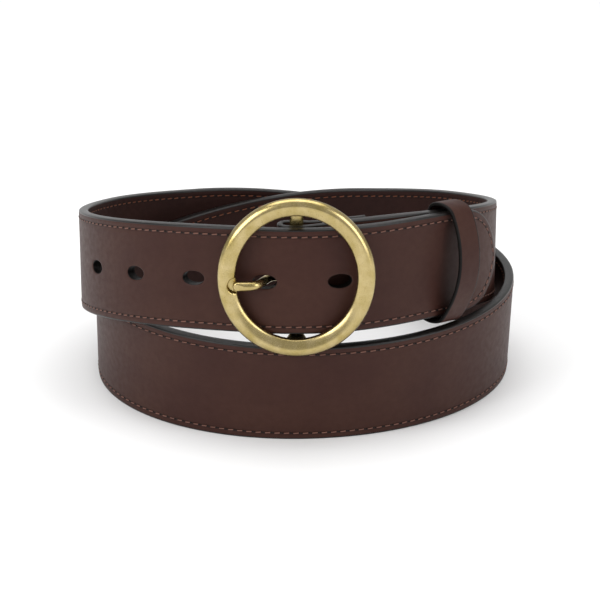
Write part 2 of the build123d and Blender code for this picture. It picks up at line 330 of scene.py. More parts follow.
# %% The sheet's rows, columns and openings
near_edge = np.array([0.0, 0.25, 0.55, 0.9, 1.4, 1.9, 2.25, 2.5, 2.7, 2.9, 3.15, 3.5])
inner_rows = np.array([14.0, 12.5, 11.0, 9.5, 8.0, 7.0, 6.0, 5.0, 4.0, 3.0, 2.0, 1.0])
block_height = 8.0
bend_reach = 13.0
hole_length = 8.2
hole_width = 5.0
hole_pitch = 25.4
first_hole = 14.7
hole_count = 5
hole_places = length_at(two_turns) + first_hole - hole_pitch * np.arange(hole_count)
slot_radius = 2.6
slot_ends = (-(6.0 + 2 * wrap_slack + math.pi * bar_clearance_radius), 6.0)


def oval_distance(along, up, opening):
    """About how far a point lies outside an opening: its share of the ellipse's radius, less one, in mm."""
    centre, half_long, half_high = opening[:3]
    share = np.hypot((along - centre) / half_long, up / half_high)
    return (1 - 1 / np.maximum(share, 0.1)) * np.hypot(along - centre, up)


holes = [(place, hole_length / 2, hole_width / 2, 8.0) for place in hole_places]
slot_middle = sum(slot_ends) / 2
slot_half = (slot_ends[1] - slot_ends[0]) / 2
prong_slot = (slot_middle, slot_half, slot_radius, slot_half + 5.0)


def sheet_columns(first, last, openings):
    """Lengths of the sheet's columns: every 1 mm beside an opening, 0.25 mm round the bar, 2 mm elsewhere."""
    marks = [first, last]
    for centre, _, _, reach in openings:
        marks += [centre - reach, centre + reach]
    has_bend = first < -bend_reach
    marks = sorted(marks + ([-bend_reach, 1.0] if has_bend else []))
    lines = []
    for start, end in zip(marks[:-1], marks[1:]):
        middle = (start + end) / 2
        beside = any(abs(middle - centre) < reach for centre, _, _, reach in openings)
        step = 0.25 if has_bend and -bend_reach < middle < 1 else (1.0 if beside else 2.0)
        lines.append(np.linspace(start, end, max(2, round((end - start) / step) + 1))[:-1])
    return np.append(np.concatenate(lines), last)


def opening_rings(columns, rows, opening):
    """Rings of points from an elliptical opening to the border of its block, and their faces."""
    centre, half_long, half_high, reach = opening
    x, y = columns - centre, rows
    border = np.concatenate(
        [
            np.column_stack([x[:-1], np.full(len(x) - 1, y[0])]),
            np.column_stack([np.full(len(y) - 1, x[-1]), y[:-1]]),
            np.column_stack([x[:0:-1], np.full(len(x) - 1, y[-1])]),
            np.column_stack([np.full(len(y) - 1, x[0]), y[:0:-1]]),
        ]
    )
    angle = np.arctan2(border[:, 1] / block_height, border[:, 0] / reach)
    oval = np.column_stack([half_long * np.cos(angle), half_high * np.sin(angle)])
    shares = np.array([0, 0.035, 0.08, 0.15, 0.27, 0.45, 0.7, 1.0])[:, None, None]
    rings = oval + (border - oval) * shares + [centre, 0]
    return rings.reshape(-1, 2), grid_faces(len(shares), len(border), loop_columns=True)[:, ::-1]


def flat_sheet(first, inset, openings):
    """Flat points (along, up), faces and edge values of a strip with openings and the pointed tip."""
    rows_in = np.concatenate([inset + near_edge * (1 - inset / near_edge[-1]), half_width - inner_rows])
    columns = sheet_columns(first, tip_start - tip_lead, openings)
    rows = np.concatenate([-(half_width - rows_in), (half_width - rows_in)[::-1]])
    along, up = np.meshgrid(columns, rows, indexing="ij")
    cells = grid_faces(len(columns), len(rows))[:, ::-1].reshape(len(columns) - 1, len(rows) - 1, 4)
    keep = np.ones(cells.shape[:2], bool)
    parts = [(np.stack([along, up], -1).reshape(-1, 2), cells)]
    low = np.searchsorted(rows, -block_height - 0.01)
    high = np.searchsorted(rows, block_height - 0.01)
    for opening in openings:
        start = np.argmin(np.abs(columns - (opening[0] - opening[3])))
        end = np.argmin(np.abs(columns - (opening[0] + opening[3])))
        keep[start:end, low:high] = False
        parts.append(opening_rings(columns[start : end + 1], rows[low : high + 1], opening))
    parts[0] = (parts[0][0], cells[keep])
    tip_along, tip_up, normal_along, normal_up = tip_outline()
    tip_along = tip_along + tip_start
    full = [np.concatenate([a, sign * a[::-1]]) for a, sign in
            ((tip_along, 1), (tip_up, -1), (normal_along, 1), (normal_up, -1))]
    tight = 1 - 0.25 * ease((full[0] - tip_start - apex_centre + 6) / 6)
    depth = np.minimum(rows_in, near_edge[-1])[:, None] * tight
    toward = np.maximum(rows_in - near_edge[-1], 0)[:, None] / (half_width - near_edge[-1])
    tip_x = full[0] - full[2] * depth
    tip_y = full[1] - full[3] * depth
    spine_end = tip_start + apex_centre - 2.0
    tip_x = tip_x + (np.minimum(tip_x, spine_end) - tip_x) * toward
    tip_y = tip_y * (1 - toward)
    count = tip_x.shape[1]
    parts.append((np.stack([tip_x, tip_y], -1).reshape(-1, 2), grid_faces(*tip_x.shape)))
    last = (len(rows_in) - 1) * count
    pairs = np.arange(count // 2 - 1)
    seam = np.stack([last + pairs, last + pairs + 1, last + count - 2 - pairs, last + count - 1 - pairs], -1)
    parts[-1] = (parts[-1][0], np.concatenate([parts[-1][1], seam]))
    starts = np.cumsum([0] + [len(p) for p, _ in parts[:-1]])
    points = np.concatenate([p for p, _ in parts])
    faces = np.concatenate([f.reshape(-1, 4) + s for (_, f), s in zip(parts, starts)])
    tip_inset = np.maximum(depth, rows_in[:, None] * tight).ravel()
    inset_value = np.concatenate([half_width - np.abs(p[:, 1]) for p, _ in parts[:-1]] + [tip_inset])
    arc = np.concatenate([[0], np.cumsum(np.hypot(np.diff(full[0]), np.diff(full[1])))])
    tip_run = tip_start - tip_lead + np.minimum(arc, arc[::-1])
    run_value = np.concatenate([p[:, 0] for p, _ in parts[:-1]] + [np.tile(tip_run, len(rows_in))])
    _, pick, merged = np.unique(np.round(points, 3), axis=0, return_index=True, return_inverse=True)
    return points[pick], merged.reshape(-1)[faces], inset_value[pick], run_value[pick]


def ply(first, inset, openings, outer, inner, dip, groove, out_side):
    """One leather layer as a closed solid: the flat sheet twice, walls along every open border, and
    the visible side rounded down at its edges, pressed in along the stitch line and at hole rims."""
    points, faces, edge, run = flat_sheet(first, inset, openings)
    rim = np.full(len(points), 9.0)
    for opening in openings:
        rim = np.minimum(rim, oval_distance(*points.T, opening))
    fall = dip * np.clip(1 - (edge - inset) / 0.8, 0, 1) ** 2 + 0.28 * np.clip(1 - rim / 0.7, 0, 1) ** 2
    fall = fall + groove * np.exp(-(((edge - stitch_inset) / 0.5) ** 2))
    seen = (outer - fall) if out_side else (inner + fall)
    hidden = np.full(len(points), inner if out_side else outer)
    top, bottom = (seen, hidden) if out_side else (hidden, seen)
    count = len(points)
    sides = np.sort(np.stack([faces, np.roll(faces, -1, 1)], -1).reshape(-1, 2), axis=1)
    directed = np.stack([faces, np.roll(faces, -1, 1)], -1).reshape(-1, 2)
    _, where, times = np.unique(sides, axis=0, return_index=True, return_counts=True)
    border = directed[where[times == 1]]
    walls = np.stack([border[:, 1], border[:, 0], border[:, 0] + count, border[:, 1] + count], -1)
    space = np.concatenate([on_strap(*points.T, top), on_strap(*points.T, bottom)])
    on_rim = (rim < 0.12).astype(float)
    flat = np.column_stack([points, np.zeros(count)])
    seam = np.column_stack([run, edge, np.zeros(count)])
    values = {
        "flat": np.concatenate([flat, flat]),
        "seam": np.concatenate([seam, seam]),
        "paint": np.concatenate([on_rim, on_rim]),
    }
    return space, np.concatenate([faces, faces[:, ::-1] + count, walls]), values


stitch_inset = 2.7
stitch_pitch = 3.4
paint_width = 0.55
face_sheet = ply(fold_end, paint_width, [*holes, prong_slot], half_thickness, face_inner, 0.12, 0.16, True)
lining_start = float(length_at(lining_start_angle))
lining_sheet = ply(lining_start, paint_width, holes, lining_outer, -half_thickness, 0.12, 0.14, False)
print("face points:", len(face_sheet[0]), "lining points:", len(lining_sheet[0]))

# %% [markdown]
# ## The painted edge
# The cut edges of both layers are sanded round together and painted black in several coats. The
# paint is a bead of its own along the lower edge, round the point and back along the upper edge. It
# is one half-round section carried along the outline, thinner where only the face leather goes on
# round the bar.

# %% Edge paint along the whole outline
def outline_path(step=2.0):
    """Flat points (along, up) and outward normals of the strap's edge, from the folded end round the tip."""
    behind = np.linspace(fold_end, -bend_reach, 8)[:-1]
    beyond = np.arange(1, tip_start - tip_lead - 1, step)
    straight = np.concatenate([behind, np.arange(-bend_reach, 1, 0.25), beyond])
    along, up, normal_along, normal_up = tip_outline()
    along = np.concatenate([straight, along + tip_start])
    up = np.concatenate([np.full(len(straight), -half_width), up])
    normal_along = np.concatenate([np.zeros(len(straight)), normal_along])
    normal_up = np.concatenate([np.full(len(straight), -1.0), normal_up])
    return (
        np.concatenate([along, along[::-1]]),
        np.concatenate([up, -up[::-1]]),
        np.concatenate([normal_along, normal_along[::-1]]),
        np.concatenate([normal_up, -normal_up[::-1]]),
    )


def capped_tube(rings):
    """Faces of a tube of rings, with each end closed by a ring drawn in to its middle."""
    first, last = rings[:1], rings[-1:]
    ends = [first.mean(axis=1, keepdims=True) + (first - first.mean(axis=1, keepdims=True)) * 0.02]
    ends.append(last.mean(axis=1, keepdims=True) + (last - last.mean(axis=1, keepdims=True)) * 0.02)
    rings = np.concatenate([ends[0], rings, ends[1]])
    faces = grid_faces(rings.shape[0], rings.shape[1], loop_columns=True)
    count = rings.shape[1]
    half = np.arange(count // 2 - 1)
    low = np.stack([half, half + 1, count - 2 - half, count - 1 - half], -1)
    high = low[:, ::-1] + (rings.shape[0] - 1) * count
    return rings.reshape(-1, 3), np.concatenate([faces, low, high])


edge_along, edge_up, edge_normal_along, edge_normal_up = outline_path()
paint_bulge = paint_width + 0.05
paint_depth = 0.3
turn = np.linspace(0, 2 * math.pi, 21)[:-1] + 0.001
section_in = np.where(np.cos(turn) > 0, np.abs(np.cos(turn)) ** 0.6, -np.abs(np.cos(turn)) ** 0.4)
section_out = np.sign(np.sin(turn)) * np.abs(np.sin(turn)) ** 0.75
both_layers = ease((edge_along - lining_start + 1.5) / 3.0)[:, None]
paint_high = half_thickness - 0.06
paint_low = face_inner + (0.06 - half_thickness - face_inner) * both_layers
reach = np.where(section_in > 0, paint_bulge * section_in, paint_depth * section_in)[None, :]
drawn_in = paint_bulge + 0.02
paint_along = edge_along[:, None] + edge_normal_along[:, None] * (reach - drawn_in)
paint_up = edge_up[:, None] + edge_normal_up[:, None] * (reach - drawn_in)
paint_out = (paint_high + paint_low) / 2 + section_out * (paint_high - paint_low) / 2
paint_rings = on_strap(paint_along, paint_up, paint_out)
edge_paint_surface = (*capped_tube(paint_rings), {})
print("edge paint rings:", len(paint_rings))

# %% [markdown]
# ## The stitches
# A lockstitch shows on both sides as a row of short dashes. Each dash is a waxed thread that comes
# up out of one needle hole and goes down the next, so it is thick in the middle and sinks at its
# ends. One small spindle is worked out once and then placed at every pitch along the stitch line,
# with a few dozen faces each, because there are over a thousand of them.

# %% Rows of stitches
stitch_length = 3.3
stitch_radius = 0.25
stitch_arch = 0.15
stitch_sink = 0.06
stitch_flatness = 0.85


def stitch_line():
    """Flat path of the stitch row: parallel to the outline at the stitch inset, evenly spaced by pitch."""
    along = edge_along - edge_normal_along * stitch_inset
    up = edge_up - edge_normal_up * stitch_inset
    run = np.concatenate([[0], np.cumsum(np.hypot(np.diff(along), np.diff(up)))])
    first, last = np.interp(length_at(24.0), along[: len(along) // 2], run[: len(run) // 2]), run[-1]
    last = last - first
    middles = np.arange(first, last, stitch_pitch)
    return along, up, run, middles


def stitches(out_level, sign, seed):
    """All stitches of one side. A stitch is a closed spindle of 10 rings of 6 points, arched by
    stitch_arch times (1 - share squared) and sunk by stitch_sink."""
    along, up, run, middles = stitch_line()
    shape = np.random.default_rng(seed)
    share = np.array([-1, -0.9, -0.72, -0.58, -0.25, 0.25, 0.58, 0.72, 0.9, 1])
    swell = np.sqrt(np.clip(1 - np.abs(share) ** 6, 0.03, 1)) * (1 + 0.3 * ease((np.abs(share) - 0.5) / 0.3))
    around = np.linspace(0, 2 * math.pi, 7)[:-1]
    slant = shape.normal(0.12, 0.025, len(middles)) * sign
    place = middles[:, None] + share[None, :] * stitch_length / 2
    line_along, line_up = np.interp(place, run, along), np.interp(place, run, up)
    ahead_along, ahead_up = np.interp(place + 0.4, run, along), np.interp(place + 0.4, run, up)
    step = np.hypot(ahead_along - line_along, ahead_up - line_up) + 1e-9
    across_along, across_up = -(ahead_up - line_up) / step, (ahead_along - line_along) / step
    thick = stitch_radius * swell * shape.normal(1, 0.05, (len(middles), 1))
    shift = slant[:, None] * share
    wide = shift[:, :, None] + thick[:, :, None] * np.cos(around)
    arch = stitch_arch * (1 - share**2)[None, :, None] - stitch_sink
    tall = out_level + sign * (arch + stitch_flatness * thick[:, :, None] * np.sin(around))
    flat_along = line_along[:, :, None] + across_along[:, :, None] * wide
    flat_up = line_up[:, :, None] + across_up[:, :, None] * wide
    points = on_strap(flat_along, flat_up, tall)
    faces = grid_faces(len(share), len(around), loop_columns=True)
    count = len(share) * len(around)
    caps = np.array([[0, 1, 2, 3], [0, 3, 4, 5], [0, 3, 2, 1], [0, 5, 4, 3]])
    caps[2:] += count - len(around)
    faces = np.concatenate([faces, caps])
    faces = (faces[None] + np.arange(len(middles))[:, None, None] * count).reshape(-1, 4)
    run_share = np.broadcast_to(share[None, :, None], flat_along.shape)
    turn_share = np.broadcast_to(around[None, None, :] / (2 * math.pi), flat_along.shape)
    number = np.broadcast_to(np.arange(len(middles))[:, None, None] * 1.0, flat_along.shape)
    twist = np.stack([run_share, turn_share, number], -1).reshape(-1, 3)
    print("stitches:", len(middles))
    return points.reshape(-1, 3), faces, {"twist": twist}


needle_stitches = stitches(half_thickness - 0.12, 1.0, 4)
bobbin_stitches = stitches(-half_thickness + 0.1, -1.0, 5)

# %% [markdown]
# ## Leather, edge paint and thread
# The strap is vegetable tanned cowhide with a smooth pigmented finish: an even dark brown with a
# satin sheen and a very fine grain. A band of painted shade along the stitch line stands for the dark
# needle holes between the stitches. The lining is the same hide, duller and without the finish. Both
# read the piece's own flat coordinates in millimetres, so the grain runs along the strap and doesn't
# stretch where it is rolled up.

# %% Leather
def flat_coordinates(tree, attribute):
    """The piece's own coordinates in millimetres, kept as a vector at each point."""
    return add_node(tree, "ShaderNodeAttribute", attribute_name=attribute).outputs["Vector"]


def noise(tree, vector, per_mm, detail=3.0, roughness=0.55):
    """Smooth noise with so many cells per millimetre."""
    inputs = {"Vector": vector, "Scale": per_mm, "Detail": detail, "Roughness": roughness}
    return add_node(tree, "ShaderNodeTexNoise", inputs).outputs["Fac"]


def leather(name, colours, roughness, grain_depth, with_seam, **settings):
    """Pigmented cowhide: cloudy colour, pebbled pores, black paint where 'paint' is 1, and painted shade of
    the needle holes in a band along the stitch line.
    """
    material, tree, shader = new_material(name, **settings)
    flat = flat_coordinates(tree, "flat")
    cloud = noise(tree, flat, 1 / 22.0)
    mottle = noise(tree, flat, 1 / 2.5, 4.0)
    colour = blended(tree, ranged(tree, cloud, 0.35, 0.65), linear(colours[0]), linear(colours[1]))
    colour = blended(tree, ranged(tree, mottle, 0.3, 0.75, 0, 0.35), colour, linear(colours[2]))
    pore_size = 0.9
    pores = add_node(tree, "ShaderNodeTexVoronoi", {"Vector": flat, "Scale": 1 / pore_size},
                     feature="SMOOTH_F1").outputs["Distance"]
    fine = noise(tree, flat, 1 / 0.35, 2.0)
    height = add_node(tree, "ShaderNodeMath", {0: pores, 1: 0.6, 2: fine},
                      operation="MULTIPLY_ADD").outputs[0]
    paint = add_node(tree, "ShaderNodeAttribute", attribute_name="paint").outputs["Fac"]
    dark = ranged(tree, paint, 0.1, 0.6)
    if with_seam:
        seam = add_node(tree, "ShaderNodeSeparateXYZ", {0: flat_coordinates(tree, "seam")})
        aside = add_node(tree, "ShaderNodeMath", {0: seam.outputs[1], 1: stitch_inset},
                         operation="SUBTRACT").outputs[0]
        aside = add_node(tree, "ShaderNodeMath", {0: aside}, operation="ABSOLUTE").outputs[0]
        # Painted shade: a band along the stitch line is darkened towards the near-black colour, standing for
        # the shade in the stitch groove and needle holes.
        painted_stitch_shade = ranged(tree, aside, 0.15, 0.75, 1, 0)
        dark = add_node(tree, "ShaderNodeMath", {0: painted_stitch_shade, 1: 0.45, 2: dark},
                        operation="MULTIPLY_ADD", use_clamp=True).outputs[0]
    colour = blended(tree, dark, colour, linear(colours[3]))
    tree.links.new(colour, shader.inputs["Base Color"])
    uneven = ranged(tree, mottle, 0.3, 0.7, roughness - 0.05, roughness + 0.06)
    tree.links.new(uneven, shader.inputs["Roughness"])
    relief = {"Height": height, "Strength": 0.35, "Distance": grain_depth * MM}
    bump = add_node(tree, "ShaderNodeBump", relief)
    tree.links.new(bump.outputs["Normal"], shader.inputs["Normal"])
    return material


# Smooth pigmented cowhide, rolled and plated: an even satin brown with a fine pressed grain.
face_leather = leather(
    "smooth brown cowhide, satin finish", ("#371f1a", "#3d251e", "#2e1914", "#090706"), 0.48, 0.05, True,
    Specular_IOR_Level=0.14,
)
# The same hide unfinished on its inner side: darker and matte.
lining_leather = leather(
    "brown cowhide lining, matte", ("#291714", "#2f1b17", "#1f110f", "#090706"), 0.6, 0.08, True,
    Specular_IOR_Level=0.12,
)


def painted_edge():
    """Acrylic edge paint, brushed on in coats over sanded leather: black, half gloss, faintly wavy."""
    material, tree, shader = new_material("black acrylic edge paint", Specular_IOR_Level=0.32)
    place = add_node(tree, "ShaderNodeTexCoord").outputs["Object"]
    wave = noise(tree, place, 1 / (1.3 * MM), 3.0)
    fibre = noise(tree, place, 1 / (0.25 * MM), 2.0)
    colour = blended(tree, ranged(tree, wave, 0.35, 0.7), linear("#0f0d0c"), linear("#1b1817"))
    tree.links.new(colour, shader.inputs["Base Color"])
    tree.links.new(ranged(tree, fibre, 0.3, 0.7, 0.28, 0.4), shader.inputs["Roughness"])
    bump = add_node(tree, "ShaderNodeBump", {"Height": fibre, "Strength": 0.3, "Distance": 0.05 * MM})
    tree.links.new(bump.outputs["Normal"], shader.inputs["Normal"])
    return material


edge_paint = painted_edge()


def waxed_thread(name, light, dark):
    """Twisted polyester thread, waxed: slanting plies along each stitch, and painted shade going near-black
    at each end where it enters its hole.
    """
    material, tree, shader = new_material(name, Roughness=0.6, Specular_IOR_Level=0.25)
    twist = add_node(tree, "ShaderNodeSeparateXYZ", {0: flat_coordinates(tree, "twist")})
    plies = add_node(tree, "ShaderNodeMath", {0: twist.outputs[0], 1: 2.2, 2: twist.outputs[1]},
                     operation="MULTIPLY_ADD").outputs[0]
    plies = add_node(tree, "ShaderNodeMath", {0: plies, 1: 3 * math.pi}, operation="MULTIPLY").outputs[0]
    plies = add_node(tree, "ShaderNodeMath", {0: plies}, operation="SINE").outputs[0]
    end = add_node(tree, "ShaderNodeMath", {0: twist.outputs[0]}, operation="ABSOLUTE").outputs[0]
    tint = add_node(tree, "ShaderNodeTexWhiteNoise", {"W": twist.outputs[2]},
                    noise_dimensions="1D").outputs["Value"]
    colour = blended(tree, ranged(tree, plies, -1, 1, 0.0, 0.5), linear(light), linear(dark))
    colour = blended(tree, ranged(tree, tint, 0, 1, 0, 0.3), colour, linear(dark))
    # Painted shade: each stitch turns near-black towards both ends, standing for the shade inside its needle
    # hole.
    colour = blended(tree, ranged(tree, end, 0.52, 0.62), colour, linear("#040303"))
    tree.links.new(colour, shader.inputs["Base Color"])
    bump = add_node(tree, "ShaderNodeBump", {"Height": plies, "Strength": 0.5, "Distance": 0.05 * MM})
    tree.links.new(bump.outputs["Normal"], shader.inputs["Normal"])
    return material


needle_thread = waxed_thread("waxed thread, light brown", "#7a5549", "#553830")
bobbin_thread = waxed_thread("waxed thread, orange brown", "#70402a", "#482819")

# %% The strap's pieces
make_piece("strap_leather", face_sheet, face_leather, "strap", ["strap_face"])
make_piece("strap_inner_leather", lining_sheet, lining_leather, "strap", ["strap_lining"])
make_piece("strap_edge_paint", edge_paint_surface, edge_paint, "strap", crease=60)
make_piece("outer_stitches", needle_stitches, needle_thread, "strap", ["needle_thread"], 80)
make_piece("inner_stitches", bobbin_stitches, bobbin_thread, "strap", ["bobbin_thread"], 80)

# %% [markdown]
# ## Antiqued brass
# The buckle is cast brass, polished, darkened, and rubbed back to a satin. That leaves a warm
# yellow metal with soft highlights, a very fine brushed haze and a browner tone in the low places.
# Metal gets its look from what it reflects, so the colour stays simple and the roughness varies.

# %% Brass and steel
def satin_brass():
    """Cast brass with a rubbed antique finish: yellow metal, brown haze in patches, soft satin gloss."""
    material, tree, shader = new_material("antiqued brass, satin", Metallic=1.0)
    place = add_node(tree, "ShaderNodeTexCoord").outputs["Object"]
    patch = noise(tree, place, 1 / (5.0 * MM), 4.0)
    grit = noise(tree, place, 1 / (0.3 * MM), 3.0)
    colour = blended(tree, ranged(tree, patch, 0.35, 0.7), linear("#bdab7c"), linear("#a6945c"))
    colour = blended(tree, ranged(tree, grit, 0.45, 0.8, 0, 0.3), colour, linear("#7b6b42"))
    tree.links.new(colour, shader.inputs["Base Color"])
    tree.links.new(ranged(tree, grit, 0.3, 0.7, 0.2, 0.3), shader.inputs["Roughness"])
    bump = add_node(tree, "ShaderNodeBump", {"Height": grit, "Strength": 0.12, "Distance": 0.03 * MM})
    tree.links.new(bump.outputs["Normal"], shader.inputs["Normal"])
    return material


def drawn_steel():
    """Bright drawn steel wire, a little dulled: grey metal with fine streaks."""
    material, tree, shader = new_material("drawn steel wire", Metallic=1.0)
    place = add_node(tree, "ShaderNodeTexCoord").outputs["Object"]
    streak = noise(tree, place, 1 / (0.4 * MM), 2.0)
    colour = blended(tree, streak, linear("#9a9a9c"), linear("#b8b8ba"))
    tree.links.new(colour, shader.inputs["Base Color"])
    tree.links.new(ranged(tree, streak, 0.3, 0.7, 0.3, 0.42), shader.inputs["Roughness"])
    return material


brass = satin_brass()
steel = drawn_steel()

# %% [markdown]
# ## The ring and its bar
# The frame is cast in one piece: an oval ring with a domed face, and behind it a flat bar that the
# strap is folded round, joined by a spreading lug at each end. The ring is one section carried round
# an ellipse. Its crown sits towards the outer side, and the face falls away gently to the inside.

# %% Domed ring with the prong's rest
ring_low, ring_high = node_box("buckle_frame")
ring_half_width = (ring_high[0] - ring_low[0]) / 2
ring_half_height = (ring_high[2] - ring_low[2]) / 2
ring_middle = (ring_high[2] + ring_low[2]) / 2
ring_front = ring_low[1]
ring_depth = 4.2
ring_band = 6.2
parting = ring_front + 2.5
rest_radius = 2.7
rest_floor = -82.5
rest_place = (-20.9, strap_middle)


def ring_surface():
    """Ellipse of sections. A section is a superellipse, deeper in front and with its crown moved outwards."""
    coarse = np.arange(0, 360, 1.2)
    coarse = coarse[np.abs(coarse - 180) > 9]
    angle = np.radians(np.sort(np.concatenate([coarse, np.arange(171, 189.1, 0.25)])))[:, None]
    turn = (np.arange(72) * 2 * math.pi / 72)[None, :]
    side_out = np.cos(turn)
    in_front = np.sin(turn) > 0
    rise = np.abs(np.sin(turn)) ** np.where(side_out > 0, 1.0, 0.5) * np.where(in_front, 1, -1)
    fall_inward = 1 - 0.34 * (np.clip(0.4 - side_out, 0, None) / 1.4) ** 1.3
    y = parting - np.where(in_front, 2.6 * rise * fall_inward, (ring_depth - 2.5) * rise)
    x = (ring_half_width - ring_band / 2 + side_out * ring_band / 2) * np.cos(angle)
    z = (ring_half_height - ring_band / 2 + side_out * ring_band / 2) * np.sin(angle) + ring_middle
    y = np.broadcast_to(y, x.shape).copy()
    away = np.hypot(x - rest_place[0], z - rest_place[1])
    sunk = 1 - ease((away - rest_radius + 0.25) / 0.3)
    y = np.where(y < parting, y + (np.maximum(rest_floor, y) - y) * sunk, y)
    points = np.stack([x, np.maximum(y, ring_front), z], -1)
    return points.reshape(-1, 3), grid_faces(*points.shape[:2], loop_rows=True, loop_columns=True), {}


def smooth_path(corners, count, passes):
    """Points spread evenly along straight runs and then averaged with their neighbours, ends held."""
    corners = np.array(corners, float)
    run = np.concatenate([[0], np.cumsum(np.linalg.norm(np.diff(corners, axis=0), axis=1))])
    even = np.linspace(0, run[-1], count)
    path = np.stack([np.interp(even, run, column) for column in corners.T], -1)
    for _ in range(passes):
        path[1:-1] = (path[:-2] + 2 * path[1:-1] + path[2:]) / 4
    return path


def carried(path, fixed, half_wide, half_deep, power=2.0, count=32):
    """Rings of a superellipse section carried along a path: wide along a fixed direction, deep across it."""
    tangent = np.gradient(path, axis=0)
    tangent /= np.linalg.norm(tangent, axis=1)[:, None]
    wide = np.broadcast_to(np.array(fixed, float), path.shape)
    deep = np.cross(tangent, wide)
    deep /= np.linalg.norm(deep, axis=1)[:, None]
    turn = np.linspace(0, 2 * math.pi, count + 1)[:-1]
    x = np.sign(np.cos(turn)) * np.abs(np.cos(turn)) ** (2 / power)
    y = np.sign(np.sin(turn)) * np.abs(np.sin(turn)) ** (2 / power)
    half_wide = np.broadcast_to(half_wide, len(path))[:, None, None]
    half_deep = np.broadcast_to(half_deep, len(path))[:, None, None]
    sideways = half_wide * x[:, None] * wide[:, None, :]
    return path[:, None, :] + sideways + half_deep * y[:, None] * deep[:, None, :]


def bar_surface():
    """Bar behind the ring: a flat oval section that swings forward and spreads into a lug at both ends."""
    lug_out, lug_back = ring_half_height - ring_band + 1.4, -81.6
    half = [(0, lug_back, lug_out), (0, bar_y - 1.5, lug_out - 0.3),
            (0, bar_y, lug_out - 1.2), (0, bar_y, lug_out - 9)]
    other = [(x, y, -z) for x, y, z in half[::-1]]
    path = smooth_path(half + other, 121, 10)
    near_ring = ease(1 - (np.abs(path[:, 1] - lug_back)) / (bar_y - lug_back - 1.0))
    path[:, 2] += ring_middle
    rings = carried(path, (1, 0, 0), 2.4 + 1.6 * near_ring, 1.5 - 0.35 * near_ring, 3.0)
    return (*capped_tube(rings), {})


buckle_surface = joined([ring_surface(), bar_surface()])
make_piece("buckle_ring", buckle_surface, brass, "buckle", ["buckle_frame"], 50)

# %% [markdown]
# ## The prong
# The prong is a round brass wire. It loops round the bar, comes forward through the hole and lies
# across to the ring, where its end is a little thicker and has one flat facet hammered on its face.
# The loop is a small rounded band, and the wire is a tube whose thickness changes along the way.

# %% Prong
prong_low, prong_high = node_box("prong")
loop_inner = 2.55
loop_outer = prong_high[0]
prong_radius = 1.5


def prong_loop():
    """Band round the bar: a rounded section turned about the bar's axis."""
    angle = np.linspace(0, 2 * math.pi, 65)[:-1, None]
    turn = np.linspace(0, 2 * math.pi, 25)[None, :-1]
    across = np.sign(np.cos(turn)) * np.abs(np.cos(turn)) ** 0.7
    radius = (loop_inner + loop_outer) / 2 + across * (loop_outer - loop_inner) / 2
    height = (prong_high[2] - prong_low[2]) / 2 * np.sign(np.sin(turn)) * np.abs(np.sin(turn)) ** 0.7
    points = np.stack([radius * np.cos(angle), bar_y + radius * np.sin(angle),
                       strap_middle + height + 0 * angle], -1)
    return points.reshape(-1, 3), grid_faces(64, 24, loop_rows=True, loop_columns=True), {}


def prong_wire():
    """Bent wire from the loop to a blunt, slightly swollen tip, cut by one tilted flat on its face."""
    tip = prong_low[0] + 0.3
    corners = [(-2.8, -73.9), (-8.6, -73.9), (-13.8, -83.9), (tip, -84.0)]
    path = smooth_path([(x, y, strap_middle) for x, y in corners], 150, 160)
    run = np.concatenate([[0], np.cumsum(np.linalg.norm(np.diff(path, axis=0), axis=1))])
    left = run[-1] - run
    end_cap = np.sqrt(np.clip(1 - np.clip(1 - left / 1.7, 0, 1) ** 2.4, 0.003, 1))
    radius = (prong_radius + 0.22 * ease((run - run[-1] + 11) / 9)) * end_cap
    rings = carried(path, (0, 0, 1), radius, radius, 2.0, 36)
    points, faces = capped_tube(rings)
    facet = -85.3 - 0.13 * (points[:, 0] + 20.2)
    on_tip = points[:, 0] < -13.5
    points[:, 1] = np.where(on_tip, np.maximum(points[:, 1], facet), points[:, 1])
    return points, faces, {}


make_piece("prong_wire", joined([prong_loop(), prong_wire()]), brass, "prong", ["prong"], 50)

# %% [markdown]
# ## The keeper
# The keeper is a narrow band of the same leather, bent round both layers of the strap, with its ends
# butted behind them and closed by two staples. It stands off the strap in front in a shallow bow.
# Its outline is straight runs and one arc with softened corners, and its section is a thin strip
# with rounded, painted edges.

# %% Keeper
keeper_angle = 45.0
keeper_width = 10.5
keeper_thickness = 1.4
keeper_slope = math.radians(-6.5)
keeper_gap = 0.6
keeper_bow = 6.5
keeper_bottom = float(lower_edge(keeper_angle)) - keeper_gap
keeper_top = float(lower_edge(two_turns + keeper_angle)) + 2 * half_width + keeper_gap
keeper_rise = (keeper_top - keeper_bottom) / 2
keeper_inner = float(coil_radius(keeper_angle)) - half_thickness - 0.85
keeper_depth = float(coil_radius(two_turns + keeper_angle)) + half_thickness + 0.4 - keeper_inner
out_way = np.append(polar(keeper_angle, 1.0), 0.0)
along_way = np.array([math.cos(math.radians(keeper_angle)), math.sin(math.radians(keeper_angle)), 0.0])
run_way = along_way * math.cos(keeper_slope) + np.array([0, 0, math.sin(keeper_slope)])
rise_way = np.cross(-run_way, out_way)
keeper_middle = out_way * keeper_inner + np.array([0, 0, (keeper_bottom + keeper_top) / 2])


def keeper_place(out, up, along):
    """Place in space of a point of the keeper: out from its back leg, up it and along the strap."""
    parts = (out_way, out), (rise_way, up), (run_way, along)
    return keeper_middle + sum(np.asarray(size)[..., None] * way for way, size in parts)


